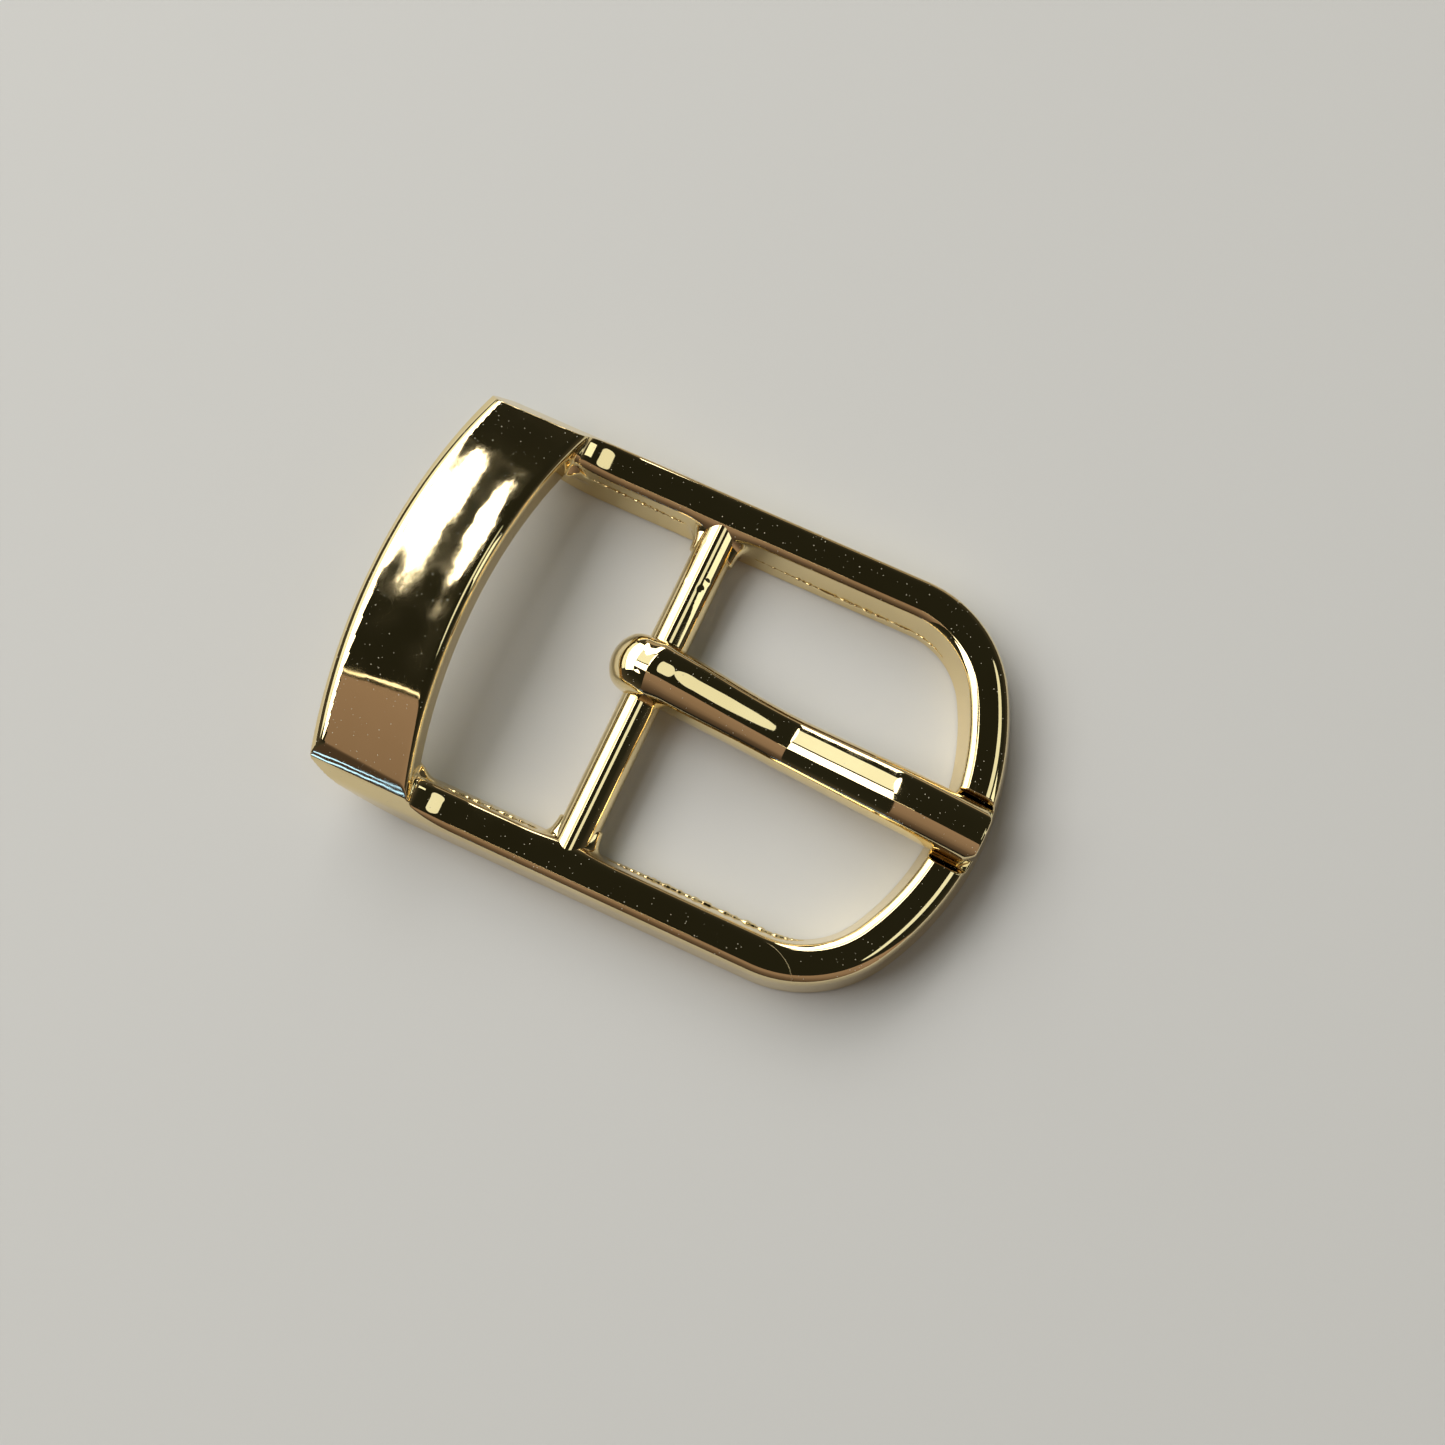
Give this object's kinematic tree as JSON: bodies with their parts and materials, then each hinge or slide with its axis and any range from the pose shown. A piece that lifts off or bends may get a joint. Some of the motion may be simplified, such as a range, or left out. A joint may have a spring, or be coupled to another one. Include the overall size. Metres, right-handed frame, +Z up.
{
  "type": "belt buckle",
  "caption": "Centre-bar strap buckle with a raised arched keeper band, a rounded end and a hinged half-round prong.",
  "frame": {"origin": "the middle of the centre bar's axis, halfway between the two rails", "axes": "+X along the strap, from the raised band towards the rounded end that the prong rests on; +Y along the centre bar; +Z up, out of the buckle's face"},
  "size_m": [0.058, 0.0386, 0.01],
  "materials": {
    "plated_casting": "bright pale gold plating, highly polished",
    "plated_bar": "bright pale gold plating over a slightly pitted cast bar",
    "plated_prong": "bright pale gold plating, highly polished"
  },
  "bodies": {
    "buckle": {"frame": "plated_casting", "centre_bar": "plated_bar"},
    "tongue": {"prong": "plated_prong"}
  },
  "joints": [
    {"name": "prong_hinge", "type": "hinge", "parent": "buckle", "child": "tongue", "pos_m": [0, 0.0015, 0], "axis": [0, -1, 0], "range_deg": [0, 141]}
  ]
}
